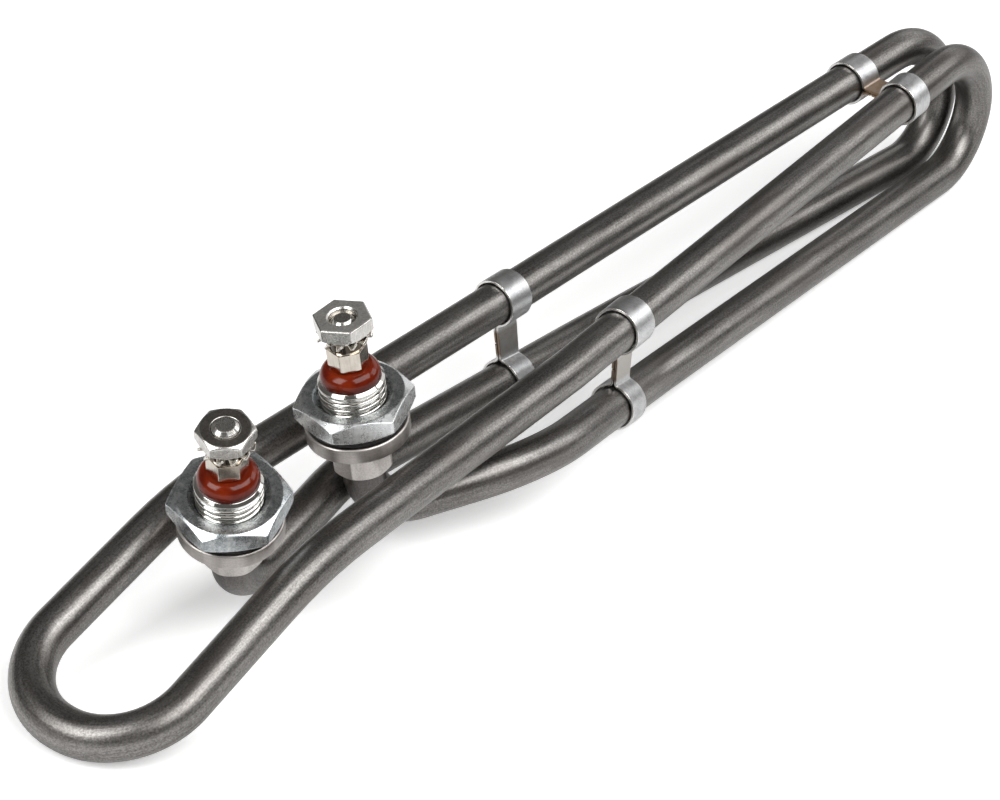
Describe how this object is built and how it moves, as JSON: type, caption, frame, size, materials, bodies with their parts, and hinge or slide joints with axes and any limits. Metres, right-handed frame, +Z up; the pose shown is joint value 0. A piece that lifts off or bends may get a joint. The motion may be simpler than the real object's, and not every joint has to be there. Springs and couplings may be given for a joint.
{
  "type": "tubular immersion heating element",
  "caption": "Bent tubular immersion heating element with threaded bulkhead fittings, terminal studs and folded spacer clips.",
  "frame": {"origin": "on the surface it lies on, midway between the front loop's tip and the backs of the far bends, in the plane that the upper passes mirror about", "axes": "+X along the passes from the front loop to the far bends, +Y towards the upper pass that lies at the back of the picture, +Z up from the surface it lies on; the terminals lean a few degrees from +Z"},
  "size_m": [0.2859, 0.0393, 0.0526],
  "materials": {
    "sheath_steel": "dark warm grey satin, drawn along the tube",
    "fitting_steel": "turned, satin flange and collar, bright neck",
    "zinc_plate": "zinc plated, bluish and slightly mottled",
    "nickel_plate": "bright nickel",
    "gasket_rubber": "matt black",
    "seal_silicone": "glossy dark brick red",
    "clip_steel": "satin sheet, bright sheared edges",
    "bush_ceramic": "matt white",
    "magnesia": "packed powder",
    "coil_wire": "oxidised wire"
  },
  "bodies": {
    "root": {"sheath_tube": "sheath_steel", "insulation_core": "magnesia", "resistance_coil": "coil_wire", "clip_back": "clip_steel", "clip_front": "clip_steel", "clip_far": "clip_steel", "bulkhead_fitting_1": "fitting_steel", "gasket_1": "gasket_rubber", "mounting_nut_1": "zinc_plate", "ceramic_bush_1": "bush_ceramic", "end_seal_1": "seal_silicone", "lower_nut_1": "nickel_plate", "lock_washer_1": "nickel_plate", "terminal_nut_1": "nickel_plate", "terminal_stud_1": "nickel_plate", "bulkhead_fitting_2": "fitting_steel", "gasket_2": "gasket_rubber", "mounting_nut_2": "zinc_plate", "ceramic_bush_2": "bush_ceramic", "end_seal_2": "seal_silicone", "lower_nut_2": "nickel_plate", "lock_washer_2": "nickel_plate", "terminal_nut_2": "nickel_plate", "terminal_stud_2": "nickel_plate"}
  },
  "joints": []
}
